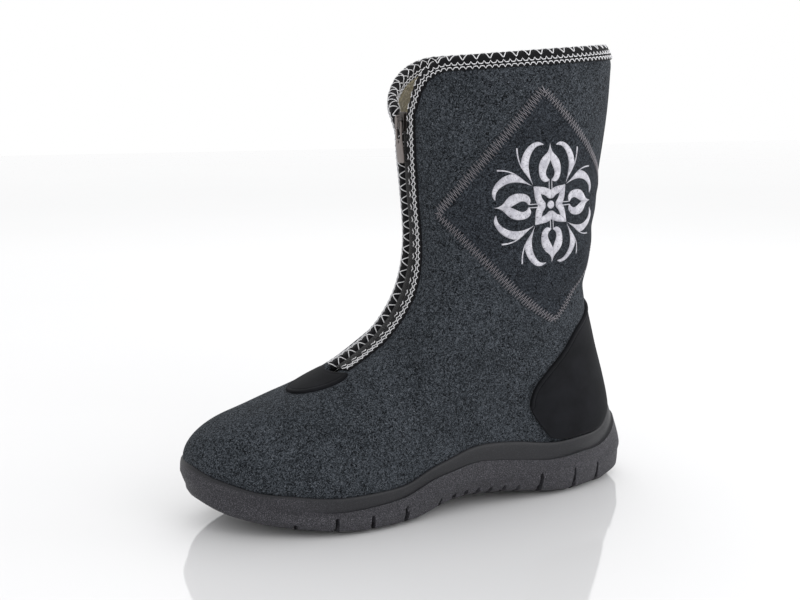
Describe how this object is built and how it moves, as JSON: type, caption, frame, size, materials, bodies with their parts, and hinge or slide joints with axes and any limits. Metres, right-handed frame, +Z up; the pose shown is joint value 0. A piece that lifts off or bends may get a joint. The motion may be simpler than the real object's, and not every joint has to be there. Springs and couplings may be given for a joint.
{
  "type": "boot",
  "caption": "Left felt boot with a front zip, braided edges, an embroidered diamond patch, a heel counter and a moulded rubber sole.",
  "frame": {"origin": "on the floor under the middle of the boot's bounding box", "axes": "+X from toe to heel, +Z up, the outer side of the foot towards -Y"},
  "size_m": [0.2626, 0.0956, 0.2513],
  "materials": {
    "felt": "charcoal melange felt",
    "patch_felt": "smoother charcoal felt, embroidered",
    "outsole": "dark grey, fine sparkling texture on the side wall",
    "fleece": "cream pile",
    "nubuck": "matte black nubuck with a folded edge",
    "braid": "black braid with white zigzag threads",
    "tape": "black zip tape and coil",
    "metal": "dull nickel"
  },
  "bodies": {
    "boot": {"upper": "felt", "sole": "outsole", "insole": "fleece", "heel_counter": "nubuck", "zip_tab": "nubuck", "side_patch": "patch_felt", "edge_binding": "braid", "zip_tape": "tape", "zip_slider": "metal"},
    "pull": {"zip_pull": "metal"}
  },
  "joints": [
    {"name": "pull_swing", "type": "hinge", "parent": "boot", "child": "pull", "pos_m": [-0.01006, -0.00065, 0.20909], "axis": [0, 1, 0], "range_deg": [0, 165]}
  ]
}
